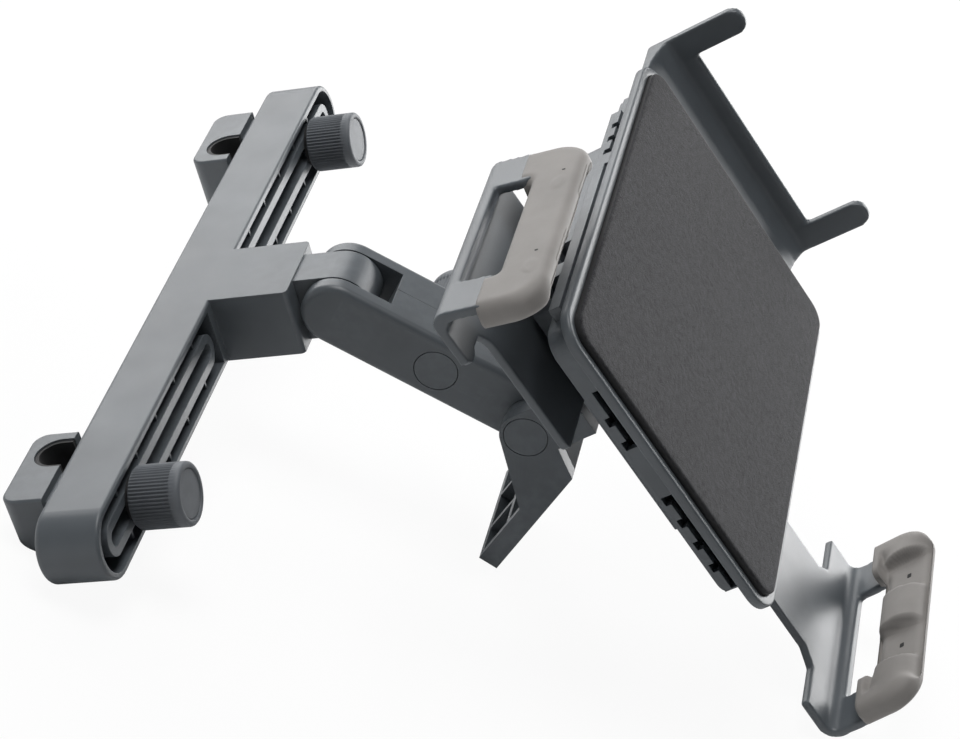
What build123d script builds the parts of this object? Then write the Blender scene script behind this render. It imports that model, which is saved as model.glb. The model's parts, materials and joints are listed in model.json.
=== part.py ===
"""Headrest tablet mount.

Frame: X along the crossbar, -Y towards the passenger, Z up, origin at the middle of the crossbar.
The cradle has its own plane: x along X, y up the plate, z out of the plate towards the passenger.
All lengths are in millimetres.
"""
import os
from math import cos, radians, sin, pi

from build123d import *

# crossbar
bar_length = 240.0
bar_height = 20.4
bar_depth = 18.0
bar_wall = 1.8
groove_depth = 13.5
slot_start = 22.0
slot_end = 111.0
slot_width = 4.6
rail_width = 2.6
rib_pitch = 17.0
block_width = 27.2
block_reach = 32.0
tongue_width = 14.0

# headrest clamps
clamp_x = 92.2
post_x = 81.5
post_y = 14.2
post_radius = 5.0
hook_height = 18.0
hook_front = 11.2
hook_reach = 23.5
liner = 1.1
stud_radius = 2.0
knob_radius = 8.5
knob_face = 24.5

# arm
hinge_y = -42.9
hinge_radius = 9.7
arm_angle = 39.7
arm_length = 62.3
arm_width = 19.4
arm_half = 12.7
fork_gap = 7.6
bolt_along = 32.2

# tilt bracket
ear_inner = 16.5
ear_outer = 21.0
ear_half = 7.5
foot_length = 41.3
foot_thickness = 6.0
web_low = 12.0
web_high = 16.0

# cradle, heights measured along the facing direction from a plane just in front of the lower hinge
facing_angle = 20.0
cradle_offset = 2.7
swivel_radius = 9.3
slide_low = 27.8
slide_high = 31.4
housing_low = 31.8
box_low = 42.2
plate_low = 47.7
plate_high = 53.7
plate_length = 140.0
plate_width = 102.0
plate_corner = 9.0
rim = 2.0
plate_half = 18.6
frame_half = 37.5
opening_half = 23.0
frame_thick = 6.5
grip_foot = 13.3
grip_rise = 30.8
left_frame_x = -43.0
left_plate_x = -46.0
left_frame_y = 71.5
left_lean = 12.0
right_frame_x = -1.5
right_plate_x = -0.7
right_frame_y = -118.6
right_lean = -6.0

pivot_y = hinge_y - arm_length * cos(radians(arm_angle))
pivot_z = -arm_length * sin(radians(arm_angle))
c_face = cos(radians(facing_angle))
s_face = sin(radians(facing_angle))
up = (0, s_face, c_face)
facing = (0, -c_face, s_face)
cradle_y = pivot_y - cradle_offset * c_face
cradle_z = pivot_z + cradle_offset * s_face
cradle = Plane(origin=(0, cradle_y, cradle_z), x_dir=(1, 0, 0), z_dir=facing)


def front(y):
    """Plane that looks out of the front of the bar, at the given y."""
    return Plane(origin=(0, y, 0), x_dir=(1, 0, 0), z_dir=(0, -1, 0))


def side(x):
    """Plane with local x along Y and local y along Z."""
    return Plane(origin=(x, 0, 0), x_dir=(0, 1, 0), z_dir=(1, 0, 0))


def along(x):
    """Plane of the arm: local x runs from the upper hinge to the lower one."""
    direction = (0, -cos(radians(arm_angle)), -sin(radians(arm_angle)))
    return Plane(origin=(x, hinge_y, 0), x_dir=direction, z_dir=(1, 0, 0))


def pivot_side(x):
    """Side plane with its origin on the lower hinge."""
    return Plane(origin=(x, pivot_y, pivot_z), x_dir=(0, 1, 0), z_dir=(1, 0, 0))


def deck(height):
    """Plane parallel to the cradle at a height above the lower hinge."""
    return cradle.offset(height)


def wall(x, y):
    """Plane across the cradle: local x along X, local y along the facing direction."""
    origin = cradle.from_local_coords((x, y, 0))
    return Plane(origin=origin, x_dir=(1, 0, 0), z_dir=(0, -s_face, -c_face))


def leaning_wall(x, y, lean):
    """Wall that stands on the slide plates and leans down the cradle by some degrees."""
    turn = radians(facing_angle - lean)
    origin = cradle.from_local_coords((x, y, slide_low))
    return Plane(origin=origin, x_dir=(1, 0, 0), z_dir=(0, -sin(turn), -cos(turn)))


def cradle_side(x):
    """Plane across the cradle at the given x: local x up the plate, local y along facing."""
    return Plane(origin=(x, cradle_y, cradle_z), x_dir=up, z_dir=(1, 0, 0))


def save(part, label):
    part.part.label = label
    export_step(part.part, "parts/" + label + ".step")


def make_crossbar():
    half = bar_depth / 2
    with BuildPart() as bar:
        with BuildSketch(front(half)):
            SlotOverall(bar_length, bar_height)
        extrude(amount=bar_depth)
        fillet(bar.edges().group_by(Axis.Y)[0], 0.9)
        fillet(bar.edges().group_by(Axis.Y)[-1], 1.8)
        with BuildSketch(front(-half)):
            SlotOverall(bar_length - 2 * bar_wall, bar_height - 2 * bar_wall)
            Rectangle(34, bar_height, mode=Mode.SUBTRACT)
        extrude(amount=-groove_depth, mode=Mode.SUBTRACT)
        middle = (slot_start + slot_end) / 2
        length = slot_end - slot_start
        floor = half - 4
        with BuildSketch(front(floor)):
            with Locations((middle, 0), (-middle, 0)):
                SlotOverall(length + 2 * rail_width, slot_width + 2 * rail_width)
        extrude(amount=bar_depth - 4 - 0.3)
        with BuildSketch(front(floor)):
            for place in range(5):
                x = 30 + rib_pitch * place
                with Locations((x, 0), (-x, 0)):
                    Rectangle(0.9, bar_height - 2)
        extrude(amount=bar_depth - 4 - 1.4)
        with BuildSketch(front(half)):
            with Locations((middle, 0), (-middle, 0)):
                SlotOverall(length, slot_width)
        extrude(amount=bar_depth, mode=Mode.SUBTRACT)
        with BuildSketch(Plane.XY.offset(-bar_height / 2)):
            with Locations((0, (1.5 - half - block_reach) / 2)):
                Rectangle(block_width, block_reach - half + 1.5)
        extrude(amount=bar_height)
        corners = bar.edges().filter_by(Axis.Z)
        outer = corners.filter_by_position(Axis.Y, -block_reach - 1, -block_reach + 1)
        fillet(outer, 1.4)
        with BuildSketch(side(-tongue_width / 2)):
            with Locations((hinge_y, 0)):
                Circle(hinge_radius)
            with Locations(((hinge_y - block_reach) / 2, 0)):
                Rectangle(-hinge_y - block_reach, 2 * hinge_radius)
        extrude(amount=tongue_width)
        with BuildSketch(side(-tongue_width / 2)):
            with Locations((hinge_y, 0)):
                Circle(3.1)
        extrude(amount=tongue_width, mode=Mode.SUBTRACT)
        with BuildSketch(Plane.XY.offset(-bar_height / 2)):
            with Locations((0, -20)):
                Rectangle(block_width - 5, 19)
                Rectangle(1.6, 19, mode=Mode.SUBTRACT)
        extrude(amount=bar_height - 3, mode=Mode.SUBTRACT)
    return bar


def make_hook(sign):
    inner = post_radius + liner + 0.05
    with BuildPart() as hook:
        with BuildSketch(Plane.XY.offset(-hook_height / 2)):
            with Locations(((72.0 + 102.5) / 2, (hook_front + hook_reach) / 2)):
                Rectangle(102.5 - 72.0, hook_reach - hook_front)
        extrude(amount=hook_height)
        tall = hook.edges().filter_by(Axis.Z).group_by(Axis.Y)[-1]
        fillet(tall, 4.4)
        with BuildSketch(Plane.XY.offset(-hook_height / 2)):
            with Locations((post_x, post_y)):
                Circle(inner)
            with Locations((post_x, post_y - 4)):
                Rectangle(2 * inner, 8)
        extrude(amount=hook_height, mode=Mode.SUBTRACT)
        rims = hook.edges().group_by(Axis.Z)
        fillet(rims[0].sort_by(Axis.Y)[-1:] + rims[-1].sort_by(Axis.Y)[-1:], 0.8)
        with BuildSketch(Plane.XY.offset(-7)):
            with Locations(((88.5 + 101.0) / 2, (9.2 + 12.0) / 2)):
                Rectangle(101.0 - 88.5, 12.0 - 9.2)
        extrude(amount=14)
        with BuildSketch(Plane.XY.offset(-slot_width / 2 + 0.15)):
            with Locations((clamp_x, 6.35)):
                Rectangle(12, 6.5)
        extrude(amount=slot_width - 0.3)
        with BuildSketch(front(18)):
            with Locations((clamp_x, 0)):
                Circle(stud_radius)
        extrude(amount=16, mode=Mode.SUBTRACT)
        if sign < 0:
            mirror(about=Plane.YZ, mode=Mode.REPLACE)
    return hook


def make_liner(sign):
    low = hook_front + 0.2
    with BuildPart() as pad:
        with BuildSketch(Plane.XY.offset(-hook_height / 2 + 0.4)):
            with Locations((post_x, post_y)):
                Circle(post_radius + liner)
            with Locations((post_x, (low + post_y) / 2)):
                Rectangle(2 * (post_radius + liner), post_y - low)
            with Locations((post_x, post_y)):
                Circle(post_radius, mode=Mode.SUBTRACT)
            with Locations((post_x, post_y - 5)):
                Rectangle(2 * post_radius, 10, mode=Mode.SUBTRACT)
            with Locations((post_x, low - 4)):
                Rectangle(16, 8, mode=Mode.SUBTRACT)
        extrude(amount=hook_height - 0.8)
        if sign < 0:
            mirror(about=Plane.YZ, mode=Mode.REPLACE)
    return pad


def make_stud(sign):
    with BuildPart() as stud:
        with BuildSketch(front(17)):
            with Locations((sign * clamp_x, 0)):
                Circle(stud_radius)
        extrude(amount=38)
    return stud


def make_washer(sign):
    with BuildPart() as washer:
        with BuildSketch(front(-bar_depth / 2 + 0.2)):
            with Locations((sign * clamp_x, 0)):
                Circle(6.4)
                Circle(stud_radius + 0.2, mode=Mode.SUBTRACT)
        extrude(amount=1.2)
    return washer


def fluted(radius, count, depth, x=0.0):
    """Corner points of a fluted circle whose centre is at the given x."""
    points = []
    for step in range(2 * count):
        turn = pi * step / count
        reach = radius if step % 2 == 0 else radius - depth
        points.append((x + reach * cos(turn), reach * sin(turn)))
    return points


def make_knob(sign):
    base = -bar_depth / 2 - 1.1
    with BuildPart() as knob:
        centre = Plane(origin=(sign * clamp_x, base, 0), x_dir=(1, 0, 0), z_dir=(0, -1, 0))
        with BuildSketch(centre):
            with BuildLine():
                Polyline(*fluted(knob_radius, 34, 0.65), close=True)
            make_face()
        extrude(amount=11.6)
        with BuildSketch(centre.offset(11.6)):
            Circle(knob_radius)
        extrude(amount=knob_face + base - 11.6)
        rim_edge = knob.edges().sort_by(Axis.Y)[0]
        fillet(rim_edge, 0.9)
        with BuildSketch(centre.offset(knob_face + base - 1.2)):
            Circle(6.7)
        extrude(amount=1.2, mode=Mode.SUBTRACT)
        with BuildSketch(centre):
            Circle(stud_radius + 0.06)
        extrude(amount=11.0, mode=Mode.SUBTRACT)
    return knob


def make_knob_cap(sign):
    with BuildPart() as cap:
        face = Plane(origin=(sign * clamp_x, -knob_face + 1.2, 0), x_dir=(1, 0, 0), z_dir=(0, -1, 0))
        with BuildSketch(face):
            Circle(6.5)
        extrude(amount=0.8)
    return cap


def make_arm_shell(near):
    start = -arm_half if near else 0.05
    inner = -0.05 if near else arm_half
    skin = -arm_half if near else arm_half
    thick = arm_half - 0.05
    with BuildPart() as shell:
        with BuildSketch(along(start)):
            with Locations((arm_length / 2, 0)):
                SlotCenterToCenter(arm_length, arm_width)
        extrude(amount=thick)
        rims = shell.edges().group_by(Axis.X)
        fillet(rims[0] if near else rims[-1], 2.0)
        with BuildSketch(along(-fork_gap)):
            with Locations((-0.5, 0)):
                Rectangle(26, arm_width + 2)
        extrude(amount=2 * fork_gap, mode=Mode.SUBTRACT)
        with BuildSketch(along(-9.9 if near else 0)):
            with Locations((35, 0)):
                Rectangle(28, arm_width - 5)
            with Locations((bolt_along, 0)):
                Circle(5, mode=Mode.SUBTRACT)
            with Locations((bolt_along + 9, 0)):
                Rectangle(1.6, arm_width, mode=Mode.SUBTRACT)
        extrude(amount=9.9, mode=Mode.SUBTRACT)
        with BuildSketch(along(-11.1)):
            Circle(3.0)
        extrude(amount=22.2, mode=Mode.SUBTRACT)
        with BuildSketch(along(3.0 - arm_half)):
            with Locations((bolt_along, 0)):
                Circle(2.5)
        extrude(amount=2 * arm_half - 6, mode=Mode.SUBTRACT)
        with BuildSketch(along(-arm_half)):
            with Locations((arm_length, 0)):
                Circle(3.56)
        extrude(amount=2 * arm_half, mode=Mode.SUBTRACT)
        with BuildSketch(along(skin)):
            with Locations((bolt_along, 0)):
                Circle(6.4 if near else 2.5)
        extrude(amount=1.4 if near else -4, mode=Mode.SUBTRACT)
    return shell


def make_disc(plane, x, radius, thick):
    with BuildPart() as disc:
        with BuildSketch(plane):
            with Locations((x, 0)):
                Circle(radius)
        extrude(amount=thick)
    return disc


def make_arm_bolt():
    with BuildPart() as bolt:
        with BuildSketch(along(3.0 - arm_half)):
            with Locations((bolt_along, 0)):
                Circle(2.5)
        extrude(amount=2 * arm_half + 7)
    return bolt


def make_arm_knob():
    plane = along(arm_half + 0.3)
    with BuildPart() as knob:
        with BuildSketch(plane):
            with BuildLine():
                Polyline(*fluted(9.6, 30, 0.7, bolt_along), close=True)
            make_face()
        extrude(amount=9.5)
        with BuildSketch(plane.offset(9.5)):
            with Locations((bolt_along, 0)):
                Circle(9.6)
        extrude(amount=4.2)
        outer = knob.edges().sort_by(Axis.X)[-1]
        fillet(outer, 1.6)
        with BuildSketch(plane.offset(12.7)):
            with Locations((bolt_along, 0)):
                Circle(7)
        extrude(amount=1.0, mode=Mode.SUBTRACT)
        with BuildSketch(plane):
            with Locations((bolt_along, 0)):
                Circle(2.56)
        extrude(amount=9.8, mode=Mode.SUBTRACT)
    return knob


def make_bracket():
    root = (-10.0, -15.4)
    reach = web_high + cradle_offset
    drop = foot_length / 2 ** 0.5
    lift = foot_thickness / 2 ** 0.5
    tip = (root[0] + drop, root[1] - drop)
    low = (ear_half, root[1] + root[0] - ear_half)
    with BuildPart() as bracket:
        for x in (-ear_outer, ear_inner):
            with BuildSketch(pivot_side(x)):
                Circle(ear_half)
                with BuildLine():
                    Polyline((-ear_half, 0), root, low, (ear_half, 0), close=True)
                make_face()
                with BuildLine():
                    corner = []
                    for a, b in ((-ear_half, 0), (-ear_half, reach), (ear_half, reach), (ear_half, 0)):
                        corner.append((a * s_face - b * c_face, a * c_face + b * s_face))
                    Polyline(*corner, close=True)
                make_face()
            extrude(amount=ear_outer - ear_inner)
        with BuildSketch(pivot_side(-ear_outer)):
            with BuildLine():
                Polyline(root, tip, (tip[0] + lift, tip[1] + lift),
                         (root[0] + lift, root[1] + lift), close=True)
            make_face()
        extrude(amount=2 * ear_outer)
        with BuildSketch(deck(web_low)):
            Rectangle(2 * ear_outer, 2 * ear_half)
        extrude(amount=web_high - web_low)
        for x, step in ((-ear_inner, 3.65), (ear_inner, -3.65)):
            with BuildSketch(pivot_side(x)):
                Circle(7)
            extrude(amount=step)
        slope = Plane(origin=(0, pivot_y + root[0] + lift, pivot_z + root[1] + lift), x_dir=(1, 0, 0),
                      z_dir=(0, 1, 1))
        with BuildSketch(slope):
            with Locations((0, 9.5)):
                Rectangle(2 * ear_inner - 4, 13)
            with Locations((0, 28)):
                Rectangle(2 * ear_outer - 4, 23)
            with Locations((-8, 24)):
                Rectangle(1.6, 34, mode=Mode.SUBTRACT)
            with Locations((8, 24)):
                Rectangle(1.6, 34, mode=Mode.SUBTRACT)
            with Locations((0, 26)):
                Rectangle(2 * ear_outer, 1.6, mode=Mode.SUBTRACT)
        extrude(amount=-4.0, mode=Mode.SUBTRACT)
        with BuildSketch(pivot_side(-ear_outer)):
            Circle(3.5)
        extrude(amount=2 * ear_outer, mode=Mode.SUBTRACT)
        for x, step in ((-ear_outer, 1.3), (ear_outer, -1.3)):
            with BuildSketch(pivot_side(x)):
                Circle(6.4)
            extrude(amount=step, mode=Mode.SUBTRACT)
        with BuildSketch(deck(web_low)):
            Circle(5)
        extrude(amount=web_high - web_low, mode=Mode.SUBTRACT)
    return bracket


def make_swivel_post():
    with BuildPart() as post:
        with BuildSketch(deck(web_low)):
            Circle(5)
        extrude(amount=web_high - web_low)
        with BuildSketch(deck(web_high)):
            Circle(swivel_radius)
        extrude(amount=39.4 - web_high)
        with BuildSketch(deck(26)):
            Circle(1.8)
        extrude(amount=13.4, mode=Mode.SUBTRACT)
    return post


def make_swivel_washer():
    with BuildPart() as washer:
        with BuildSketch(deck(39.5)):
            Circle(13)
            Circle(1.9, mode=Mode.SUBTRACT)
        extrude(amount=1.2)
    return washer


def make_swivel_screw():
    with BuildPart() as screw:
        with BuildSketch(deck(28)):
            Circle(1.8)
        extrude(amount=12.7)
        with BuildSketch(deck(40.7)):
            Circle(3.6)
            RegularPolygon(1.5, 6, mode=Mode.SUBTRACT)
        extrude(amount=1.3)
    return screw


def rail_shape(low, high, x, play):
    """T rail in a wall plane: stem and head, grown by the play."""
    with Locations((x, (low + 34.8) / 2)):
        Rectangle(4.2 + 2 * play, 34.8 - low)
    with Locations((x, (34.8 - play + high + play) / 2)):
        Rectangle(10.4 + 2 * play, high - 34.8 + 2 * play)


screw_spots = ((33, 36), (33, -36), (2, 36), (2, -36))
left_rail_x = -34.0
right_rail_x = -16.6


def make_housing():
    height = box_low - housing_low
    with BuildPart() as housing:
        with BuildSketch(deck(housing_low)):
            RectangleRounded(83, 88, 3)
        extrude(amount=height - 0.05)
        with BuildSketch(wall(0, 45)):
            rail_shape(housing_low - 1, 38.6, left_rail_x, 0.3)
            rail_shape(housing_low - 1, 38.6, right_rail_x, 0.3)
        extrude(amount=90, mode=Mode.SUBTRACT)
        with BuildSketch(deck(housing_low)):
            Circle(swivel_radius + 0.1)
        extrude(amount=height, mode=Mode.SUBTRACT)
        with BuildSketch(deck(39.4)):
            Circle(14)
        extrude(amount=4, mode=Mode.SUBTRACT)
        with BuildSketch(deck(housing_low)):
            with Locations((26, 16), (26, -16)):
                Rectangle(22, 24)
        extrude(amount=6, mode=Mode.SUBTRACT)
        with BuildSketch(deck(housing_low)):
            with Locations(*screw_spots):
                Circle(3)
        extrude(amount=3, mode=Mode.SUBTRACT)
        with BuildSketch(deck(housing_low)):
            with Locations(*screw_spots):
                Circle(1.5)
        extrude(amount=height, mode=Mode.SUBTRACT)
    return housing


def make_housing_screw(spot):
    with BuildPart() as screw:
        with BuildSketch(deck(housing_low + 1.2)):
            with Locations(spot):
                Circle(2.8)
                RegularPolygon(1.2, 6, mode=Mode.SUBTRACT)
        extrude(amount=1.8)
        with BuildSketch(deck(housing_low + 3)):
            with Locations(spot):
                Circle(1.5)
        extrude(amount=11.5)
    return screw


def make_box():
    height = plate_low - box_low
    with BuildPart() as box:
        with BuildSketch(deck(box_low)):
            RectangleRounded(130, 90, 6)
        extrude(amount=height - 0.02)
        with BuildSketch(deck(box_low + 1.4)):
            RectangleRounded(126, 86, 4)
        extrude(amount=height, mode=Mode.SUBTRACT)
        with BuildSketch(deck(box_low + 1.4)):
            with Locations(*screw_spots):
                Circle(3.2)
        extrude(amount=height - 1.45)
        with BuildSketch(deck(box_low)):
            with Locations(*screw_spots):
                Circle(1.5)
        extrude(amount=height, mode=Mode.SUBTRACT)
        with BuildSketch(cradle_side(-68)):
            with Locations((17.4, 45.2)):
                Rectangle(17.4, 3.8)
            with Locations((-24.6, 45.2)):
                Rectangle(33.8, 3.8)
            for y in (13.4, 20.4, -13.2, -19.6, -26.0, -32.4):
                with Locations((y, 44.0)):
                    Rectangle(2.4, 1.9, mode=Mode.SUBTRACT)
        extrude(amount=8, mode=Mode.SUBTRACT)
        with BuildSketch(wall(0, 47)):
            with Locations((44, 45.2)):
                Rectangle(34, 3.8)
            with Locations((-16, 45.6)):
                Rectangle(74, 2.4)
            for x in (36, 43, 50):
                with Locations((x, 44.0)):
                    Rectangle(2.4, 1.9, mode=Mode.SUBTRACT)
        extrude(amount=6, mode=Mode.SUBTRACT)
        with BuildSketch(cradle_side(61)):
            with Locations((5, 45.35)):
                Rectangle(51, 3.4)
        extrude(amount=5, mode=Mode.SUBTRACT)
    return box


def make_plate():
    with BuildPart() as plate:
        with BuildSketch(deck(plate_low)):
            RectangleRounded(plate_length, plate_width, plate_corner)
        extrude(amount=plate_high - plate_low)
        top = plate.faces().sort_by(Axis((0, 0, 0), facing))[-1]
        fillet(top.edges(), 0.8)
        with BuildSketch(deck(plate_high - 2.4)):
            RectangleRounded(plate_length - 2 * rim - 0.6, plate_width - 2 * rim - 0.6, plate_corner - rim)
        extrude(amount=3, mode=Mode.SUBTRACT)
    return plate


def make_pad():
    with BuildPart() as pad:
        with BuildSketch(deck(plate_high - 2.4)):
            RectangleRounded(plate_length - 6.2, plate_width - 6.2, plate_corner - rim - 0.8)
        extrude(amount=2.9)
        top = pad.faces().sort_by(Axis((0, 0, 0), facing))[-1]
        fillet(top.edges(), 0.6)
    return pad


def arm_outline(frame_x, plate_x, outer, inner, sign):
    """Outline of the slide plate and the base of its frame, one hand after the other."""
    points = []
    for hand in (1, -1):
        edge = frame_x + hand * frame_half
        neck = plate_x + hand * plate_half
        row = [(edge - hand * 4, outer), (edge, outer - sign * 4), (edge, outer - sign * 16.5),
               (edge - hand * 3, outer - sign * 17.5), (edge - hand * 11, outer - sign * 13),
               (edge - hand * 13.5, outer - sign * 14), (neck, outer - sign * 17.5), (neck, inner)]
        points += row if hand > 0 else row[::-1]
    return points


def make_side_arm(frame_x, plate_x, outer, inner, sign, lean, rail_x, rail_ends):
    frame = leaning_wall(frame_x, outer if sign > 0 else outer + frame_thick, lean)
    with BuildPart() as arm:
        with BuildSketch(deck(slide_low)):
            with BuildLine():
                Polyline(*arm_outline(frame_x, plate_x, outer, inner, sign), close=True)
            make_face()
            if sign > 0:
                with Locations((rail_x, -10)):
                    Rectangle(10.4, 50)
        extrude(amount=slide_high - slide_low)
        if sign < 0:
            with BuildSketch(deck(slide_low)):
                with Locations((0, inner - 25.5)):
                    SlotOverall(95, 22, rotation=90)
            extrude(amount=4, mode=Mode.SUBTRACT)
        with BuildSketch(wall(0, rail_ends[1])):
            rail_shape(slide_low + 1, 38.6, rail_x, 0)
        extrude(amount=rail_ends[1] - rail_ends[0])
        with BuildSketch(frame):
            with Locations((0, 11)):
                RectangleRounded(2 * frame_half, 19, 5.5)
            with Locations((0, grip_foot + 5)):
                Rectangle(2 * frame_half + 2, 10, mode=Mode.SUBTRACT)
            with Locations((0, 9.3)):
                RectangleRounded(2 * opening_half, 9.2, 2, mode=Mode.SUBTRACT)
        extrude(amount=frame_thick)
        with BuildSketch(frame.offset(1.1)):
            with Locations((0, grip_rise - 2.5 - 10)):
                RectangleRounded(2 * frame_half - 5, 20, 6)
            with Locations((0, 12)):
                RectangleRounded(2 * opening_half + 5, 14, 3, mode=Mode.SUBTRACT)
        extrude(amount=4.3)
    return arm


def make_grip(frame_x, outer, sign, lean, body):
    thick = frame_thick + 1.2
    face = leaning_wall(frame_x, outer + 0.8 if sign > 0 else outer + frame_thick + 0.4, lean)
    with BuildPart() as grip:
        with BuildSketch(face):
            with Locations((0, grip_rise - 14)):
                RectangleRounded(2 * frame_half + 1.6, 28, 9.5)
            with Locations((0, grip_foot - 7)):
                Rectangle(2 * frame_half + 4, 14, mode=Mode.SUBTRACT)
        extrude(amount=thick)
        layers = grip.edges().group_by(Axis((0, 0, 0), face.z_dir))
        rise = Axis((0, 0, 0), face.y_dir)
        fillet(layers[0].sort_by(rise)[1:] + layers[-1].sort_by(rise)[1:], 2.8)
        with BuildSketch(face):
            with Locations((0, 12.5)):
                RectangleRounded(2 * opening_half, 7, 2.5)
        extrude(amount=thick, mode=Mode.SUBTRACT)
        add(body.part, mode=Mode.SUBTRACT)
    return grip


def make_hook_arm():
    with BuildPart() as arm:
        with BuildSketch(deck(44)):
            with Locations((83.4, 5.5)):
                RectangleRounded(25.6, 83, 3)
        extrude(amount=3.4)
        with BuildSketch(deck(44)):
            with Locations((46, 5)):
                Rectangle(52, 49)
        extrude(amount=2.4)
        with BuildSketch(deck(44)):
            with Locations((94.4, 5.5)):
                Rectangle(3.6, 79)
        extrude(amount=11.5)
        with BuildSketch(deck(44)):
            with Locations((76, 5.5), (85, 5.5)):
                Rectangle(1.4, 76)
        extrude(amount=5.4)
        with BuildSketch(cradle_side(90.8)):
            for y in (43, -31.5):
                with Locations((y, 44 + 16.5)):
                    SlotOverall(33, 8, rotation=90)
            with Locations((43, 46), (-31.5, 46)):
                Rectangle(8, 4)
        extrude(amount=5.4)
    return arm


os.makedirs("parts", exist_ok=True)

save(make_crossbar(), "crossbar")
for sign, name in ((-1, "left"), (1, "right")):
    save(make_hook(sign), "post_hook_" + name)
    save(make_liner(sign), "hook_pad_" + name)
    save(make_stud(sign), "clamp_stud_" + name)
    save(make_washer(sign), "clamp_washer_" + name)
    save(make_knob(sign), "knob_" + name)
    save(make_knob_cap(sign), "knob_cap_" + name)

save(make_arm_shell(True), "arm_shell_near")
save(make_arm_shell(False), "arm_shell_far")
save(make_disc(along(-11), 0, 3.0, 22), "hinge_pin_upper")
save(make_arm_bolt(), "arm_bolt")
save(make_disc(along(-arm_half), bolt_along, 6.2, 1.3), "arm_cap")
save(make_arm_knob(), "arm_knob")
save(make_disc(along(arm_half + 13.0), bolt_along, 6.8, 0.7), "arm_knob_cap")
save(make_disc(along(1.4 - ear_outer), arm_length, 3.5, 2 * ear_outer - 2.8), "hinge_pin_lower")
save(make_disc(along(-ear_outer), arm_length, 6.2, 1.2), "pivot_cap_near")
save(make_disc(along(ear_outer - 1.2), arm_length, 6.2, 1.2), "pivot_cap_far")
save(make_bracket(), "tilt_bracket")
save(make_swivel_post(), "swivel_post")
save(make_swivel_washer(), "swivel_washer")
save(make_swivel_screw(), "swivel_screw")
save(make_housing(), "slide_housing")
for number, spot in enumerate(screw_spots):
    save(make_housing_screw(spot), "housing_screw_" + str(number + 1))
save(make_box(), "back_box")
save(make_plate(), "front_plate")
save(make_pad(), "pad")

left_arm = make_side_arm(left_frame_x, left_plate_x, left_frame_y, 14, 1, left_lean, left_rail_x, (-34, 40))
right_arm = make_side_arm(right_frame_x, right_plate_x, right_frame_y, 10, -1, right_lean, right_rail_x,
                          (-40, 10))
save(left_arm, "left_arm")
save(right_arm, "right_arm")
save(make_grip(left_frame_x, left_frame_y, 1, left_lean, left_arm), "left_grip")
save(make_grip(right_frame_x, right_frame_y, -1, right_lean, right_arm), "right_grip")
save(make_hook_arm(), "hook_arm")
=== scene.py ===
import json
import math

import bmesh
import bpy
from mathutils import Matrix, Vector, noise


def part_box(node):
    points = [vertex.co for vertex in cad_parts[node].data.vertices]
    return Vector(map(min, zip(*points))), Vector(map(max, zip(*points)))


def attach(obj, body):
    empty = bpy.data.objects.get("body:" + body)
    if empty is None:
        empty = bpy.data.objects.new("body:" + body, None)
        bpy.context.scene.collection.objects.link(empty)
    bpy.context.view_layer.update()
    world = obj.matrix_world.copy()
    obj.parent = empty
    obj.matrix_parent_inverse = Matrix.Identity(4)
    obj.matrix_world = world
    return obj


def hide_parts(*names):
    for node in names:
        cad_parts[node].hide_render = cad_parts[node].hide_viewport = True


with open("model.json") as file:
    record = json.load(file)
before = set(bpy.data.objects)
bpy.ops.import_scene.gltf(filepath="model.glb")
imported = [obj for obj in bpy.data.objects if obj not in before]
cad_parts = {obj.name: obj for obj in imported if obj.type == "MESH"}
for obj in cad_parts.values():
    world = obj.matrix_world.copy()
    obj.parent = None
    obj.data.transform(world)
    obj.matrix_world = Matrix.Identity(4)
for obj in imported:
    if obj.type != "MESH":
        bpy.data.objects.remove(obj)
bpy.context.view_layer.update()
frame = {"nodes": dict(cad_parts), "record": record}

scene = bpy.context.scene
millimetre = 0.001

# Lower hinge and the cradle's directions: x along the bar, up the plate, out of the plate.
hinge_low, hinge_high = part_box("hinge_pin_lower")
pivot = (hinge_low + hinge_high) / 2
pivot.x = 0.0
tilt_degrees = 20
tilt = math.radians(tilt_degrees)
plate_up = Vector((0, math.sin(tilt), math.cos(tilt)))
plate_out = Vector((0, -math.cos(tilt), math.sin(tilt)))
origin_shift = 0.0027
pivot += plate_out * origin_shift
along_x = Vector((1, 0, 0))

# The side arms: heights of the sheet, its thickness, and each frame's place and lean in degrees.
slab_low, slab_high, sheet = 27.8, 30.3, 2.6
left_frame_x, left_lean = -43.0, 12
right_frame_x, right_lean = -1.5, -6


def cradle(x, a, b):
    """A point from its cradle coordinates in millimetres."""
    return pivot + (along_x * x + plate_up * a + plate_out * b) * millimetre


# materials
def new_material(name):
    """Material with its nodes, links and main shader."""
    made = bpy.data.materials.new(name)
    made.use_nodes = True
    nodes = made.node_tree.nodes
    return made, nodes, made.node_tree.links, nodes["Principled BSDF"]


def noise_node(nodes, links, scale, detail=3.0, roughness=0.5, stretch=None):
    """Noise in object space, with an optional stretch along the axes."""
    place = nodes.new("ShaderNodeTexCoord")
    texture = nodes.new("ShaderNodeTexNoise")
    texture.inputs["Scale"].default_value = scale
    texture.inputs["Detail"].default_value = detail
    texture.inputs["Roughness"].default_value = roughness
    if stretch:
        mapping = nodes.new("ShaderNodeMapping")
        mapping.inputs["Scale"].default_value = stretch
        links.new(place.outputs["Object"], mapping.inputs["Vector"])
        links.new(mapping.outputs["Vector"], texture.inputs["Vector"])
    else:
        links.new(place.outputs["Object"], texture.inputs["Vector"])
    return texture


def ramp_node(nodes, links, source, stops):
    """Colour ramp between two stops, each a place and a colour."""
    ramp = nodes.new("ShaderNodeValToRGB")
    for element, (position, colour) in zip(ramp.color_ramp.elements, stops):
        element.position = position
        element.color = (*colour, 1)
    links.new(source, ramp.inputs["Fac"])
    return ramp


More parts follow.
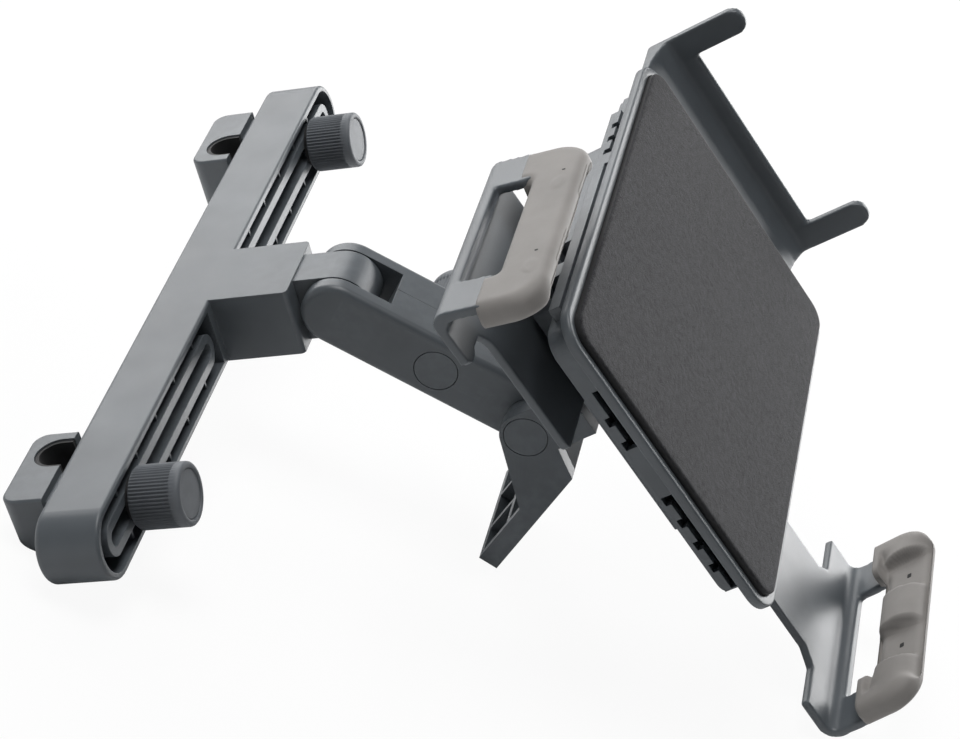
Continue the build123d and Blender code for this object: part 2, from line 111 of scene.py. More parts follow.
def range_node(nodes, links, source, low, high):
    """Spreads 0 to 1 over low to high."""
    node = nodes.new("ShaderNodeMapRange")
    node.inputs["To Min"].default_value = low
    node.inputs["To Max"].default_value = high
    links.new(source, node.inputs["Value"])
    return node


def moulded_plastic(name, colour, rough, grain=0.12, edge=0.00035, wear=0.14):
    """Spark eroded plastic: fine grain, faint cloudy shade, edges slightly rounded and rubbed."""
    made, nodes, links, shader = new_material(name)
    cloud = noise_node(nodes, links, 38, 4)
    dark = tuple(c * 0.88 for c in colour)
    light = tuple(min(1, c * 1.14) for c in colour)
    tone = ramp_node(nodes, links, cloud.outputs["Fac"], ((0.32, dark), (0.7, light)))
    shape = nodes.new("ShaderNodeNewGeometry")
    rubbed = ramp_node(nodes, links, shape.outputs["Pointiness"], ((0.53, (0, 0, 0)), (0.6, (1, 1, 1))))
    scratch = noise_node(nodes, links, 320, 5)
    patch = ramp_node(nodes, links, scratch.outputs["Fac"], ((0.4, (0, 0, 0)), (0.62, (1, 1, 1))))
    both = nodes.new("ShaderNodeMath")
    both.operation = "MULTIPLY"
    links.new(rubbed.outputs["Color"], both.inputs[0])
    links.new(patch.outputs["Color"], both.inputs[1])
    amount = nodes.new("ShaderNodeMath")
    amount.operation = "MULTIPLY"
    amount.inputs[1].default_value = wear
    links.new(both.outputs[0], amount.inputs[0])
    mix = nodes.new("ShaderNodeMixRGB")
    mix.inputs["Color2"].default_value = (*[min(1, c * 1.9 + 0.02) for c in colour], 1)
    links.new(amount.outputs[0], mix.inputs["Fac"])
    links.new(tone.outputs["Color"], mix.inputs["Color1"])
    links.new(mix.outputs["Color"], shader.inputs["Base Color"])
    smudge = noise_node(nodes, links, 90, 3)
    gloss = range_node(nodes, links, smudge.outputs["Fac"], rough - 0.05, rough + 0.06)
    links.new(gloss.outputs["Result"], shader.inputs["Roughness"])
    fine = noise_node(nodes, links, 5200, 2)
    bevel = nodes.new("ShaderNodeBevel")
    bevel.samples = 6
    bevel.inputs["Radius"].default_value = edge
    bump = nodes.new("ShaderNodeBump")
    bump.inputs["Strength"].default_value = grain
    bump.inputs["Distance"].default_value = 0.00012
    links.new(fine.outputs["Fac"], bump.inputs["Height"])
    links.new(bevel.outputs["Normal"], bump.inputs["Normal"])
    links.new(bump.outputs["Normal"], shader.inputs["Normal"])
    shader.inputs["Specular IOR Level"].default_value = 0.5
    return made


def rubber(name, colour, rough):
    """Matt rubber with a faint cloudy shade and fine grain."""
    made, nodes, links, shader = new_material(name)
    cloud = noise_node(nodes, links, 60, 5)
    dark = tuple(c * 0.86 for c in colour)
    light = tuple(min(1, c * 1.12) for c in colour)
    tone = ramp_node(nodes, links, cloud.outputs["Fac"], ((0.3, dark), (0.72, light)))
    links.new(tone.outputs["Color"], shader.inputs["Base Color"])
    gloss = range_node(nodes, links, cloud.outputs["Fac"], rough - 0.06, rough + 0.06)
    links.new(gloss.outputs["Result"], shader.inputs["Roughness"])
    fine = noise_node(nodes, links, 3000, 3)
    bump = nodes.new("ShaderNodeBump")
    bump.inputs["Strength"].default_value = 0.2
    bump.inputs["Distance"].default_value = 0.0001
    links.new(fine.outputs["Fac"], bump.inputs["Height"])
    links.new(bump.outputs["Normal"], shader.inputs["Normal"])
    shader.inputs["Specular IOR Level"].default_value = 0.35
    shader.inputs["Sheen Weight"].default_value = 0.1
    shader.inputs["Sheen Roughness"].default_value = 0.5
    return made


def suede_cloth(name):
    """Dark suede: a short nap in two shades over larger patches."""
    made, nodes, links, shader = new_material(name)
    nap = noise_node(nodes, links, 650, 6, 0.72)
    patches = noise_node(nodes, links, 45, 4, 0.6)
    fibre = noise_node(nodes, links, 2600, 2, 0.6)
    nap_colours = ((0.34, (0.015, 0.015, 0.0172)), (0.66, (0.04, 0.04, 0.0435)))
    patch_shades = ((0.3, (0.93, 0.93, 0.93)), (0.7, (1.06, 1.06, 1.06)))
    first = ramp_node(nodes, links, nap.outputs["Fac"], nap_colours)
    second = ramp_node(nodes, links, patches.outputs["Fac"], patch_shades)
    mix = nodes.new("ShaderNodeMixRGB")
    mix.blend_type = "MULTIPLY"
    mix.inputs["Fac"].default_value = 1.0
    links.new(first.outputs["Color"], mix.inputs["Color1"])
    links.new(second.outputs["Color"], mix.inputs["Color2"])
    links.new(mix.outputs["Color"], shader.inputs["Base Color"])
    shader.inputs["Roughness"].default_value = 0.95
    shader.inputs["Specular IOR Level"].default_value = 0.2
    shader.inputs["Sheen Weight"].default_value = 0.12
    shader.inputs["Sheen Roughness"].default_value = 0.45
    total = nodes.new("ShaderNodeMath")
    total.operation = "ADD"
    links.new(nap.outputs["Fac"], total.inputs[0])
    links.new(fibre.outputs["Fac"], total.inputs[1])
    bump = nodes.new("ShaderNodeBump")
    bump.inputs["Strength"].default_value = 0.5
    bump.inputs["Distance"].default_value = 0.0003
    links.new(total.outputs[0], bump.inputs["Height"])
    links.new(bump.outputs["Normal"], shader.inputs["Normal"])
    return made


def steel_metal(name):
    """Plain steel with a fine brushed grain."""
    made, nodes, links, shader = new_material(name)
    brush = noise_node(nodes, links, 500, 3, 0.5, (1, 12, 12))
    greys = ((0.3, (0.42, 0.42, 0.43)), (0.7, (0.56, 0.56, 0.57)))
    tone = ramp_node(nodes, links, brush.outputs["Fac"], greys)
    links.new(tone.outputs["Color"], shader.inputs["Base Color"])
    gloss = range_node(nodes, links, brush.outputs["Fac"], 0.25, 0.42)
    links.new(gloss.outputs["Result"], shader.inputs["Roughness"])
    shader.inputs["Metallic"].default_value = 1.0
    return made


charcoal = moulded_plastic("charcoal_plastic", (0.085, 0.096, 0.106), 0.4)
knob_grey = moulded_plastic("knob_plastic_dark", (0.11, 0.12, 0.132), 0.55)
grip_rubber = rubber("grip_rubber_grey", (0.235, 0.222, 0.21), 0.62)
liner_black = rubber("liner_rubber_black", (0.012, 0.012, 0.013), 0.6)
suede = suede_cloth("suede_charcoal")
steel = steel_metal("steel_plain")
# painted shade: a near-black rubber for the insides of the grips' small slots, which are not cut
painted_slot_shade = rubber("painted_slot_shade", (0.006, 0.006, 0.007), 0.7)

by_slot = {"body_plastic": charcoal, "knob_plastic": knob_grey, "grip_rubber": grip_rubber,
           "liner_rubber": liner_black, "suede": suede, "steel": steel}


def paint(piece, material):
    """Gives the whole piece one material."""
    piece.data.materials.clear()
    piece.data.materials.append(material)


for part in frame["record"]["subparts"]:
    paint(frame["nodes"][part["node"]], by_slot[part["material_slot"]])


# own pieces, worked out in the cradle's millimetres
def make_piece(name, points, faces, material, smooth=True):
    """Object from points and faces, doubles joined and faces turned outwards."""
    mesh = bpy.data.meshes.new(name)
    mesh.from_pydata(points, [], faces)
    shape = bmesh.new()
    shape.from_mesh(mesh)
    bmesh.ops.remove_doubles(shape, verts=shape.verts, dist=0.000001)
    bmesh.ops.recalc_face_normals(shape, faces=shape.faces)
    shape.to_mesh(mesh)
    shape.free()
    for polygon in mesh.polygons:
        polygon.use_smooth = smooth
    mesh.materials.append(material)
    piece = bpy.data.objects.new(name, mesh)
    scene.collection.objects.link(piece)
    return piece


def grid_faces(rows, columns, close_rows=False):
    """Quads between rings of equal length, each ring closed."""
    faces = []
    for row in range(rows if close_rows else rows - 1):
        below, above = row * columns, (row + 1) % rows * columns
        for column in range(columns):
            after = (column + 1) % columns
            faces.append((below + column, below + after, above + after, above + column))
    return faces


def rounded_outline(half_x, half_y, radius, steps=8):
    """Closed rounded rectangle about the origin."""
    points = []
    for number, (sx, sy) in enumerate(((1, 1), (-1, 1), (-1, -1), (1, -1))):
        for step in range(steps + 1):
            turn = math.pi / 2 * (number + step / steps)
            points.append((sx * (half_x - radius) + radius * math.cos(turn),
                           sy * (half_y - radius) + radius * math.sin(turn)))
    return points


def ease(value, low, high):
    """Smooth step from 0 to 1 between low and high."""
    t = min(1.0, max(0.0, (value - low) / (high - low)))
    return t * t * (3 - 2 * t)


def window(value, low, high, soft):
    """1 between low and high and 0 outside, with soft ends."""
    return ease(value, low - soft, low + soft) * (1 - ease(value, high - soft, high + soft))


# rubber grips on the frames of the side arms
grip_foot, grip_rise, grip_edge = 13.3, 30.8, 16.0
grip_half, hole_half, grip_thick = 38.3, 23.0, 7.7
grip_width, grip_round, right_extra_rise = 15.0, 2.9, 1.2

# flat panels sunk between the lobes, and shallow bowls outside, by their place along the grip
panels, panel_depth = ((11.5, 27.5), (-20.5, -4.5)), 4.0
bowls, bowl_depth = (16.7, -23.9), 0.22


def grip_stations(rise):
    """Pairs of points, on the opening's edge and on the outline, from one leg's end to the other's."""
    stations = []
    for step in range(9):
        h = grip_foot + (21.3 - grip_foot) * step / 8
        stations.append(((-hole_half, min(h, grip_edge - 2.5)), (-grip_half, h)))
    for step in range(1, 25):
        turn = math.pi - math.pi / 2 * step / 24
        near = (2.5 * math.cos(turn) - hole_half + 2.5, 2.5 * math.sin(turn) + grip_edge - 2.5)
        far = (9.5 * math.cos(turn) - grip_half + 9.5, 9.5 * math.sin(turn) + rise - 9.5)
        stations.append((near, far))
    for step in range(1, 60):
        share = step / 60
        stations.append(((-20.5 + 41 * share, grip_edge), (-28.8 + 57.6 * share, rise)))
    return stations + [((-a[0], a[1]), (-b[0], b[1])) for a, b in reversed(stations[:33])]


def section_ring(width, thick, radius):
    """Rounded section: distance from the opening's edge and height above the inner face."""
    ring = []
    for x, y in rounded_outline(width / 2, thick / 2, radius, 6):
        ring.append((x + width / 2, y + thick / 2))
    full = []
    for index, (x, y) in enumerate(ring):
        nx, ny = ring[(index + 1) % len(ring)]
        parts = max(1, int(math.hypot(nx - x, ny - y) / 0.7))
        for part in range(parts):
            full.append((x + (nx - x) * part / parts, y + (ny - y) * part / parts))
    return full


def make_grip_piece(name, body, node, frame_x, outer, lean, sign):
    """Rubber grip: lobes and sunk panels inside, shallow bowls outside, and thin black discs as painted shade
    inside small slots.
    """
    start = outer if sign > 0 else outer + 6.5
    turn = math.radians(tilt_degrees - lean)
    rise = Vector((0, -math.cos(turn), math.sin(turn)))
    inward = Vector((0, -math.sin(turn), -math.cos(turn)))
    origin = cradle(frame_x, start, slab_low)
    base = 6.9 if sign > 0 else -0.4
    stations = grip_stations(grip_rise if sign > 0 else grip_rise + right_extra_rise)
    shape = section_ring(grip_width, grip_thick, grip_round)
    points, columns = [], len(shape)
    for near, far in stations:
        for along, height in shape:
            share = along / grip_width
            u = near[0] + (far[0] - near[0]) * share
            h = near[1] + (far[1] - near[1]) * share
            inner_side = 1 - ease(height, 1.5, 4.6)
            low = max(window(u, start_u, end_u, 0.9) for start_u, end_u in panels)
            bulge = panel_depth * math.sqrt(max(0.0, 1 - ((h - 23.2) / 7.7) ** 2))
            top_bar = ease(h, 15.2, 16.2) * window(u, -31, 31, 2.5)
            depth = min(inner_side * top_bar * (panel_depth - bulge * (1 - low)), panel_depth)
            outer_side = ease(height, 6.0, 7.4)
            for place in bowls:
                away = math.hypot((u - place) / 3.4, (h - 25.2) / 1.9)
                depth += bowl_depth * outer_side * (1 - ease(away, 0.7, 1.1))
            height = height + depth
            offset = base - height if sign > 0 else base + height
            points.append(origin + (along_x * u + rise * h + inward * offset) * millimetre)
    faces = grid_faces(len(stations), columns)
    last = (len(stations) - 1) * columns
    faces += [tuple(range(columns)), tuple(last + index for index in range(columns))]
    piece = make_piece(name, points, faces, grip_rubber)
    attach(piece, body)
    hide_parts(node)
    # painted shade: thin black discs on the outer face and in the sunk panels stand for the shade inside
    # small slots
    slot_shades, slot_shade_faces = [], []
    for u, h, half_u, half_h, height in ((23.0, 25.6, 0.32, 0.5, 7.72), (-16.8, 25.6, 0.32, 0.5, 7.72),
                                         (19.5, 24.6, 0.9, 0.7, 3.98), (-12.5, 24.6, 0.9, 0.7, 3.98)):
        ring = rounded_outline(half_u, half_h, 0.3, 4)
        first = len(slot_shades)
        for level in (0.0, 0.04 if height > 5 else -0.04):
            for x, y in ring:
                offset = base - height - level if sign > 0 else base + height + level
                slot_shades.append(origin + (along_x * (u + x) + rise * (h + y) + inward * offset) * millimetre)
        count = len(ring)
        slot_shade_faces += [tuple(first + v for v in face) for face in grid_faces(2, count)]
        slot_shade_faces += [tuple(first + v for v in range(count)), tuple(first + count + v for v in range(count))]
    dots = make_piece(name + "_marks", slot_shades, slot_shade_faces, painted_slot_shade, smooth=False)
    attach(dots, body)


make_grip_piece("left_grip_rubber", "left_side_arm", "left_grip", left_frame_x, 71.5, left_lean, 1)
make_grip_piece("right_grip_rubber", "right_side_arm", "right_grip", right_frame_x, -118.6, right_lean, -1)

# plate with a low rim, and the suede pad standing out of it, its sides black up to the crown's edge
black_side_top, crown_from = 53.3, 53.6


def ring_piece(name, centre, half, radius, levels, material):
    """Piece built of rounded rectangles, each given as inset and height in the cradle's millimetres."""
    points = []
    for inset, level in levels:
        for x, a in rounded_outline(half[0] - inset, half[1] - inset, max(radius - inset, 0.05), 10):
            wave = noise.noise(Vector((x * 0.08, a * 0.08, 3.0))) * 0.05 if level > crown_from else 0.0
            points.append(cradle(centre[0] + x, centre[1] + a, level + wave))
    count = len(points) // len(levels)
    faces = grid_faces(len(levels), count)
    faces += [tuple(range(count)), tuple((len(levels) - 1) * count + v for v in range(count))]
    piece = make_piece(name, points, faces, material)
    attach(piece, "cradle")
    return piece


plate_centre = (1.5, -1.4)
plate_levels = ((0.5, 49.2), (0.15, 49.3), (0, 49.6), (0, 51.3), (0.1, 51.65), (0.35, 51.9), (0.7, 52.0),
                (2.4, 52.0), (2.7, 51.9), (2.8, 51.6), (2.8, 50.4))
rim_plate = ring_piece("rim_plate", plate_centre, (71.5, 51.0), 9.0, plate_levels, charcoal)
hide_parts("front_plate")
pad_levels = ((0, 50.45), (0, 53.2), (0.06, 53.45), (0.25, 53.65), (0.5, 53.78), (0.9, 53.84), (1.6, 53.87),
              (3, 53.9), (6, 53.92), (12, 53.93), (20, 53.94), (30, 53.95), (40, 53.95), (47, 53.95))
suede_pad = ring_piece("suede_pad", plate_centre, (68.6, 48.1), 6.2, pad_levels, suede)
suede_pad.data.materials.append(liner_black)
for polygon in suede_pad.data.polygons:
    height = (polygon.center - pivot).dot(plate_out) / millimetre
    if height < black_side_top:
        polygon.material_index = 1
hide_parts("pad")


# fluted thumb knobs
points_per_flute = 6


def make_knob_piece(name, body, node, axis, sign, profile, flutes, depth):
    """Knob from rows of distance along its axis, radius and share of the flutes' depth."""
    low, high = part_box(node)
    centre = (low + high) / 2
    side_one = Vector((0, 0, 1))
    side_two = axis.cross(side_one)
    start = centre - axis * ((high - low).dot(axis * sign) / 2)
    around = flutes * points_per_flute
    points = []
    for distance, radius, share in profile:
        for step in range(around):
            turn = 2 * math.pi * step / around
            groove = (0.5 - 0.5 * math.cos(turn * flutes)) ** 0.8
            reach = radius - depth * share * groove
            spoke = side_one * math.cos(turn) + side_two * math.sin(turn)
            points.append(start + (axis * distance + spoke * reach) * millimetre)
    faces = grid_faces(len(profile), around)
    last = (len(profile) - 1) * around
    faces += [tuple(range(around)), tuple(last + index for index in range(around))]
    piece = make_piece(name, points, faces, knob_grey)
    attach(piece, body)
    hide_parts(node)


thumb_profile = ((11, 2.08, 0), (0, 2.08, 0), (0, 7.6, 0), (0.15, 8.0, 0), (0.5, 8.3, 0.3), (0.9, 8.5, 1),
                 (11.1, 8.5, 1), (11.4, 8.5, 0.6), (11.6, 8.5, 0), (13.4, 8.5, 0), (13.9, 8.38, 0),
                 (14.25, 8.05, 0), (14.4, 7.6, 0), (14.4, 7.1, 0), (14.3, 6.8, 0), (14.1, 6.68, 0),
                 (13.2, 6.65, 0))
arm_profile = ((9.8, 2.58, 0), (0, 2.58, 0), (0, 8.7, 0), (0.15, 9.1, 0), (0.5, 9.4, 0.3), (0.9, 9.6, 1),
               (9.0, 9.6, 1), (9.3, 9.6, 0.6), (9.5, 9.6, 0), (12.2, 9.6, 0), (13.0, 9.3, 0), (13.5, 8.7, 0),
               (13.7, 8.0, 0), (13.7, 7.5, 0), (13.55, 7.15, 0), (13.3, 7.0, 0), (12.7, 6.98, 0))
outward = Vector((0, -1, 0))
make_knob_piece("thumb_knob_left", "left_knob", "knob_left", outward, -1, thumb_profile, 54, 0.55)
make_knob_piece("thumb_knob_right", "right_knob", "knob_right", outward, -1, thumb_profile, 54, 0.55)
make_knob_piece("arm_thumb_knob", "arm_clamp_knob", "arm_knob", along_x, 1, arm_profile, 50, 0.6)


# closed shapes and soft mouldings
def prism(outline, low, high, order):
    """Closed prism from a 2-D outline; order gives the places of outline x, outline y and height."""
    count = len(outline)
    points = []
    for level in (low, high):
        for u, v in outline:
            place = [0, 0, 0]
            place[order[0]], place[order[1]], place[order[2]] = u, v, level
            points.append(tuple(place))
    faces = [tuple(range(count)), tuple(count + v for v in range(count))]
    for index in range(count):
        after = (index + 1) % count
        faces.append((index, after, count + after, count + index))
    return points, faces


def shifted(outline, dx, dy):
    """Outline moved by dx and dy."""
    return [(x + dx, y + dy) for x, y in outline]


def soft_moulding(name, shapes, voxel, rounds):
    """Joins closed shapes, given in cradle millimetres, into one skin with softened corners."""
    mesh = bpy.data.meshes.new(name + "_rough")
    shape = bmesh.new()
    for points, faces in shapes:
        corners = [shape.verts.new(point) for point in points]
        made = [shape.faces.new([corners[index] for index in face]) for face in faces]
        bmesh.ops.recalc_face_normals(shape, faces=made)
    shape.to_mesh(mesh)
    shape.free()
    rough = bpy.data.objects.new(name + "_rough", mesh)
    scene.collection.objects.link(rough)
    remesh = rough.modifiers.new("remesh", "REMESH")
    remesh.mode = "VOXEL"
    remesh.voxel_size = voxel
    smooth = rough.modifiers.new("smooth", "SMOOTH")
    smooth.iterations = rounds
    smooth.factor = 0.5
    view = bpy.context.evaluated_depsgraph_get()
    done = bpy.data.meshes.new_from_object(rough.evaluated_get(view))
    bpy.data.objects.remove(rough)
    done.name = name
    for vertex in done.vertices:
        vertex.co = cradle(*vertex.co)
    for polygon in done.polygons:
        polygon.use_smooth = True
    piece = bpy.data.objects.new(name, done)
    scene.collection.objects.link(piece)
    return piece


# hook arm, one thin moulding with soft corners
hook_section = [(70.6, 44.0), (95.0, 44.0), (96.2, 45.2), (96.2, 56.6), (95.6, 57.0), (94.6, 57.0),
                (94.0, 56.4), (93.4, 51.0), (92.4, 50.2), (89.5, 48.6), (85.5, 47.4), (80.0, 46.8),
                (70.6, 46.8)]
prong_half, prong_rise = 4.1, 71.5
prong_inner, prong_outer = 93.6, 96.2
prong = []
for step in range(13):
    turn = math.pi * step / 12
    prong.append((prong_half * math.cos(turn), prong_rise + prong_half * math.sin(turn)))
prong += [(-prong_half, 45.0), (prong_half, 45.0)]
rail_plate = [(20, -19.5), (72, -19.5), (72, 29.5), (20, 29.5)]
hook_shapes = [prism(hook_section, -38.6, 43.2, (0, 2, 1)), prism(rail_plate, 44.0, 46.4, (0, 1, 2)),
               prism(shifted(prong, 39.2, 0), prong_inner, prong_outer, (1, 2, 0)),
               prism(shifted(prong, -34.4, 0), prong_inner, prong_outer, (1, 2, 0))]
hook_piece = soft_moulding("hook_moulding", hook_shapes, 0.6, 3)
paint(hook_piece, charcoal)
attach(hook_piece, "hook")
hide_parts("hook_arm")

# box under the plate: toothed windows and a shoulder below a dark gap
def block(x_low, x_high, a_low, a_high, b_low, b_high):
    """Closed box between limits in the cradle's millimetres."""
    corners = [(x_low, a_low), (x_high, a_low), (x_high, a_high), (x_low, a_high)]
    return prism(corners, b_low, b_high, (0, 1, 2))


def solid_mesh(name, shapes):
    """Mesh of closed shapes given in the cradle's millimetres."""
    shape = bmesh.new()
    for points, faces in shapes:
        corners = [shape.verts.new(cradle(*point)) for point in points]
        made = [shape.faces.new([corners[index] for index in face]) for face in faces]
        bmesh.ops.recalc_face_normals(shape, faces=made)
    mesh = bpy.data.meshes.new(name)
    shape.to_mesh(mesh)
    shape.free()
    return mesh


def reshaped_copy(name, node, steps):
    """Copy of a CAD node with solids added or taken away, the node itself left as it is."""
    source = frame["nodes"][node]
    mesh = source.data.copy()
    mesh.transform(source.matrix_world)
    work = bpy.data.objects.new(name, mesh)
    scene.collection.objects.link(work)
    helpers = []
    for operation, shapes in steps:
        for shape in shapes:
            helper = bpy.data.objects.new(name + "_helper", solid_mesh(name + "_helper", [shape]))
            scene.collection.objects.link(helper)
            helpers.append(helper)
            boolean = work.modifiers.new(operation, "BOOLEAN")
            boolean.operation = operation
            boolean.solver = "EXACT"
            boolean.object = helper
    done = bpy.data.meshes.new_from_object(work.evaluated_get(bpy.context.evaluated_depsgraph_get()))
    for spare in helpers + [work]:
        bpy.data.objects.remove(spare)
    done.name = name
    piece = bpy.data.objects.new(name, done)
    scene.collection.objects.link(piece)
    return piece


notch_width = 2.7
windows = [block(-70, -62, 7.8, 27.0, 45.1, 49.0), block(-70, -62, -42.0, -9.0, 45.1, 49.0)]
for notch in (10.5, 18.6, -9.0, -16.9, -24.9, -32.9):
    windows.append(block(-70, -62, notch - notch_width, notch, 43.5, 45.2))
for notch in (22.2, 29.6, 37.0):
    windows.append(block(notch, notch + 2.6, 45.6, 49.5, 45.5, 47.6))
shoulder = [block(-56, 46.5, 43.5, 48.6, 43.8, 47.2), block(16, 22, 43.5, 48.6, 47.1, 49.19)]
filled = [block(-64.99, -63.01, -42.5, 27.5, 43.0, 47.6), block(-54, 62, 43.01, 44.99, 43.0, 47.6)]
box_piece = reshaped_copy("box_housing", "back_box", (("UNION", filled + shoulder), ("DIFFERENCE", windows)))
paint(box_piece, charcoal)
for polygon in box_piece.data.polygons:
    polygon.use_smooth = False
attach(box_piece, "cradle")
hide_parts("back_box")
outer = rounded_outline(65, 45, 6, 8)
inner = rounded_outline(63, 43, 4, 8)
box_top, plate_foot = 47.6, 49.21
rings = ((outer, box_top), (outer, plate_foot), (inner, plate_foot), (inner, box_top))
points = [cradle(x, a, level) for ring, level in rings for x, a in ring]
faces = grid_faces(len(rings), len(outer), close_rows=True)
top_ring = make_piece("box_top_ring", points, faces, charcoal, smooth=False)
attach(top_ring, "cradle")

# side arms, bent sheets with a frame at the end
def bent_profile(corner, lean, height, thick, radius):
    """Section of slab, bend and wall as points up the cradle and out of it."""
    side = 1 if corner > 0 else -1
    angle = math.radians(lean)
    wall = Vector((-math.sin(angle), math.cos(angle)))
    inward = Vector((-side * math.cos(angle), -side * math.sin(angle)))
    half = math.acos(max(-1, min(1, wall.dot(Vector((-side, 0)))))) / 2
    start = Vector((corner, slab_low))
    middle = (wall + Vector((-side, 0))).normalized()
    centre = start + middle * (radius / math.sin(half))
    foot, top = centre + Vector((0, -radius)), centre - inward * radius
    first = math.atan2(foot.y - centre.y, foot.x - centre.x)
    last = math.atan2(top.y - centre.y, top.x - centre.x)
    if side > 0 and last < first:
        last += 2 * math.pi
    if side < 0 and last > first:
        last -= 2 * math.pi
    outline = [(corner - side * 16, slab_low)]
    for step in range(9):
        turn = first + (last - first) * step / 8
        outline.append((centre.x + radius * math.cos(turn), centre.y + radius * math.sin(turn)))
    tip = start + wall * height
    outline += [tuple(tip), tuple(tip + inward * thick)]
    inner_radius = 3.0
    level = slab_high
    crease = start + inward * thick + wall * ((level - (start + inward * thick).y) / wall.y)
    inner_centre = crease + middle * (inner_radius / math.sin(half))
    for step in range(7):
        turn = last + (first - last) * step / 6
        outline.append((inner_centre.x + inner_radius * math.cos(turn),
                        inner_centre.y + inner_radius * math.sin(turn)))
    outline.append((corner - side * 16, level))
    return outline


def rounded_corners(outline, radius, steps=5):
    """Outline with each corner replaced by a small curve."""
    points = []
    count = len(outline)
    for index in range(count):
        here, before = Vector(outline[index]), Vector(outline[index - 1])
        after = Vector(outline[(index + 1) % count])
        reach = min(radius, (before - here).length / 2.05, (after - here).length / 2.05)
        one, two = here + (before - here).normalized() * reach, here + (after - here).normalized() * reach
        for step in range(steps + 1):
            t = step / steps
            point = one * (1 - t) ** 2 + here * 2 * t * (1 - t) + two * t * t
            points.append((point.x, point.y))
    return points


def make_arm_piece(name, body, node, frame_x, plate_x, corner, inner, lean, rail_x, rail_ends, slot=None):
    """Side arm as a bent sheet: slide plate with its rail, two ears, a low wall and two legs."""
    side = 1 if corner > 0 else -1
    bend, ear = (3.6, 17.6) if side > 0 else (5.2, 14.2)
    half, neck = 37.5, 18.6
    tip = 1.5 if side > 0 else 0.3
    depths = ((half, 5), (half, ear - 2.7 * tip), (half - tip, ear), (half - 5.5, ear - 0.4),
              (half - 10.5, ear - 4.4))
    row = [(x, corner - side * depth) for x, depth in depths]
    waist = corner - side * 21
    outline = [(frame_x + x, a) for x, a in row] + [(plate_x + neck, waist), (plate_x + neck, inner)]
    outline += [(plate_x - neck, inner), (plate_x - neck, waist)]
    outline += [(frame_x - x, a) for x, a in reversed(row)]
    if slot:
        cut_low, cut_half = slot
        arc = []
        for step in range(13):
            turn = math.pi * step / 12
            arc.append((-cut_half * math.cos(turn), cut_low + cut_half - cut_half * math.sin(turn)))
        place = outline.index((plate_x + neck, inner)) + 1
        notch = [(cut_half, inner)] + list(reversed(arc)) + [(-cut_half, inner)]
        outline = outline[:place] + notch + outline[place:]
    else:
        outline = rounded_corners(outline, 2.6)
    shapes = [prism(outline, slab_low, slab_high, (0, 1, 2))]
    profile = bent_profile(corner, lean, 20.0, sheet, bend)
    low_profile = bent_profile(corner, lean, 6.0, sheet, bend)
    leg_profile = bent_profile(corner, lean, 14.4, sheet, bend)
    for low, high in ((-half, -23), (23, half)):
        shapes.append(prism(leg_profile, frame_x + low, frame_x + high, (1, 2, 0)))
    shapes.append(prism(profile, frame_x - half + 3.5, frame_x - 23.5, (1, 2, 0)))
    shapes.append(prism(profile, frame_x + 23.5, frame_x + half - 3.5, (1, 2, 0)))
    shapes.append(prism(low_profile, frame_x - 23.5, frame_x + 23.5, (1, 2, 0)))
    stem = [(rail_x - 2.1, 28.8), (rail_x + 2.1, 28.8), (rail_x + 2.1, 34.8), (rail_x + 5.2, 34.8),
            (rail_x + 5.2, 38.6), (rail_x - 5.2, 38.6), (rail_x - 5.2, 34.8), (rail_x - 2.1, 34.8)]
    shapes.append(prism(stem, rail_ends[0], rail_ends[1], (0, 2, 1)))
    if side > 0:
        strip = [(rail_x - 5.2, -35), (rail_x + 5.2, -35), (rail_x + 5.2, 16), (rail_x - 5.2, 16)]
        shapes.append(prism(strip, slab_low, 31.3, (0, 1, 2)))
    piece = soft_moulding(name, shapes, 0.55, 3)
    paint(piece, charcoal)
    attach(piece, body)
    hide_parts(node)


make_arm_piece("left_arm_moulding", "left_side_arm", "left_arm", left_frame_x, -46.0, 72.0, 14, left_lean,
               -34.0, (-34, 40))
make_arm_piece("right_arm_moulding", "right_side_arm", "right_arm", right_frame_x, -0.7, -119.0, 10,
               right_lean, -16.6, (-40, 10), (-63, 11))

# camera at the photograph's viewing angle
right = Vector((0.195, -0.952, -0.234)).normalized()
upward = Vector((0.56, -0.088, 0.824))
upward = (upward - right * upward.dot(right)).normalized()
backward = right.cross(upward).normalized()
camera_data = bpy.data.cameras.new("camera")
camera_data.lens = 101.25
camera_data.sensor_width = 36.0
camera_data.clip_start = 0.01
camera_data.clip_end = 50.0
camera = bpy.data.objects.new("camera", camera_data)
scene.collection.objects.link(camera)
rotation = Matrix((right, upward, backward)).transposed()
camera.matrix_world = Matrix.Translation((-0.6160, -0.2990, 0.3652)) @ rotation.to_4x4()
scene.camera = camera

# floor under the three points that the object stands on
foot = Vector((-0.023, -0.0716, -0.0844))
bar_end = Vector((-0.113, 0.009, -0.0095))
arm_corner = Vector((-0.0402, -0.1593, -0.1387))
floor_normal = (bar_end - foot).cross(arm_corner - foot).normalized()
floor_centre = (foot + bar_end + arm_corner) / 3 - floor_normal * 0.001


def flat_square(name, centre, normal, half):
    mesh = bpy.data.meshes.new(name)
    turn = normal.to_track_quat("Z", "Y")
    signs = ((-1, -1), (1, -1), (1, 1), (-1, 1))
    corners = [centre + turn @ Vector((x * half, y * half, 0)) for x, y in signs]
    mesh.from_pydata(corners, [], [(0, 1, 2, 3)])
    made = bpy.data.objects.new(name, mesh)
    scene.collection.objects.link(made)
    return made


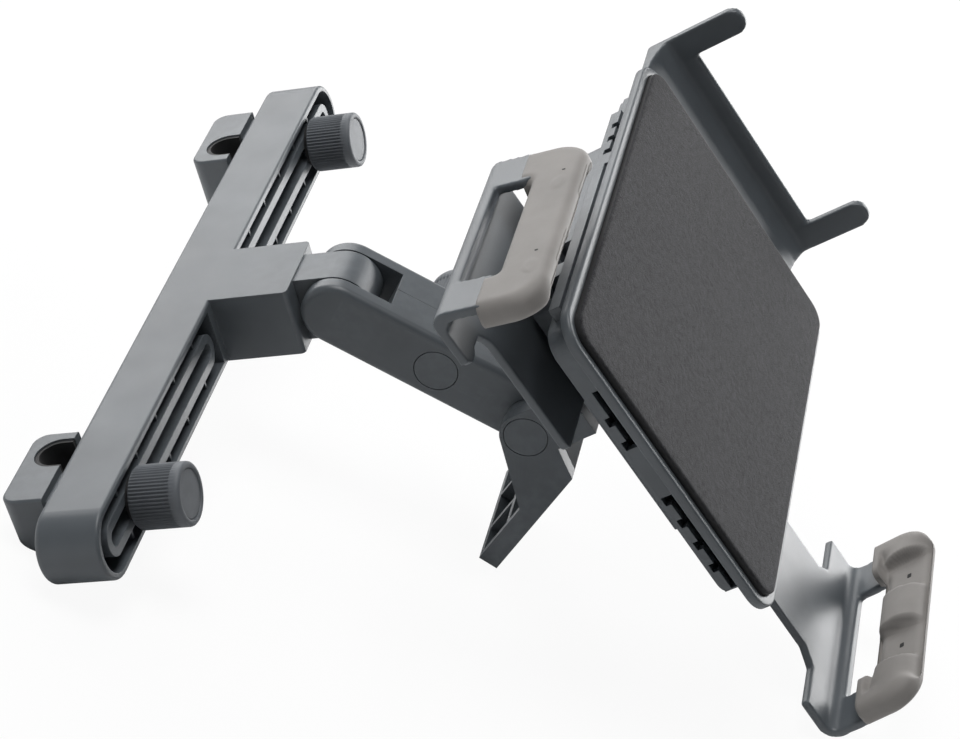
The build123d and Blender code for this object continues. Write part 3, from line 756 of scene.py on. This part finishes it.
floor_half, camera_share = 6, 0.93
floor = flat_square("floor", floor_centre, floor_normal, floor_half)
floor_material, nodes, links, shader = new_material("floor_pale")
shader.inputs["Base Color"].default_value = (0.78, 0.78, 0.78, 1)
shader.inputs["Roughness"].default_value = 0.9
shader.inputs["Specular IOR Level"].default_value = 0.0
path = nodes.new("ShaderNodeLightPath")
plain = nodes.new("ShaderNodeEmission")
plain.inputs["Color"].default_value = (1, 1, 1, 1)
plain.inputs["Strength"].default_value = 1.0
blend_white = nodes.new("ShaderNodeMixShader")
share = nodes.new("ShaderNodeMath")
share.operation = "MULTIPLY"
share.inputs[1].default_value = camera_share
links.new(path.outputs["Is Camera Ray"], share.inputs[0])
links.new(share.outputs[0], blend_white.inputs["Fac"])
links.new(shader.outputs[0], blend_white.inputs[1])
links.new(plain.outputs[0], blend_white.inputs[2])
side_seen = nodes.new("ShaderNodeNewGeometry")
clear = nodes.new("ShaderNodeBsdfTransparent")
from_behind = nodes.new("ShaderNodeMixShader")
links.new(side_seen.outputs["Backfacing"], from_behind.inputs["Fac"])
links.new(blend_white.outputs[0], from_behind.inputs[1])
links.new(clear.outputs[0], from_behind.inputs[2])
links.new(from_behind.outputs[0], nodes["Material Output"].inputs["Surface"])
floor.data.materials.append(floor_material)

# plain studio light, aimed at the middle of the object
object_middle = Vector((0, -0.06, -0.03))
world = bpy.data.worlds.new("studio")
scene.world = world
world.use_nodes = True
nodes, links = world.node_tree.nodes, world.node_tree.links
soft_sky = nodes["Background"]
soft_sky.inputs["Color"].default_value = (0.95, 0.97, 1.0, 1)
soft_sky.inputs["Strength"].default_value = 0.13
white_back = nodes.new("ShaderNodeBackground")
white_back.inputs["Color"].default_value = (1, 1, 1, 1)
white_back.inputs["Strength"].default_value = 1.0
seen = nodes.new("ShaderNodeLightPath")
choose = nodes.new("ShaderNodeMixShader")
links.new(seen.outputs["Is Camera Ray"], choose.inputs["Fac"])
links.new(soft_sky.outputs[0], choose.inputs[1])
links.new(white_back.outputs[0], choose.inputs[2])
links.new(choose.outputs[0], nodes["World Output"].inputs["Surface"])


def softbox(name, direction, distance, size, power):
    """Square area lamp, placed in a direction given in the camera's right, up and back axes."""
    data = bpy.data.lights.new(name, "AREA")
    data.energy = power
    data.size = size
    lamp = bpy.data.objects.new(name, data)
    scene.collection.objects.link(lamp)
    away = (right * direction[0] + upward * direction[1] + backward * direction[2]).normalized()
    facing = away.to_track_quat("Z", "Y").to_matrix().to_4x4()
    lamp.matrix_world = Matrix.Translation(object_middle + away * distance) @ facing


softbox("back_softbox", (-0.24, 0.85, -0.46), 1.2, 0.9, 9)
softbox("right_softbox", (0.73, 0.32, -0.6), 1.2, 1.0, 19)
softbox("top_softbox", (0.05, 0.84, 0.5), 1.3, 0.7, 12.5)

scene.view_settings.view_transform = "Standard"
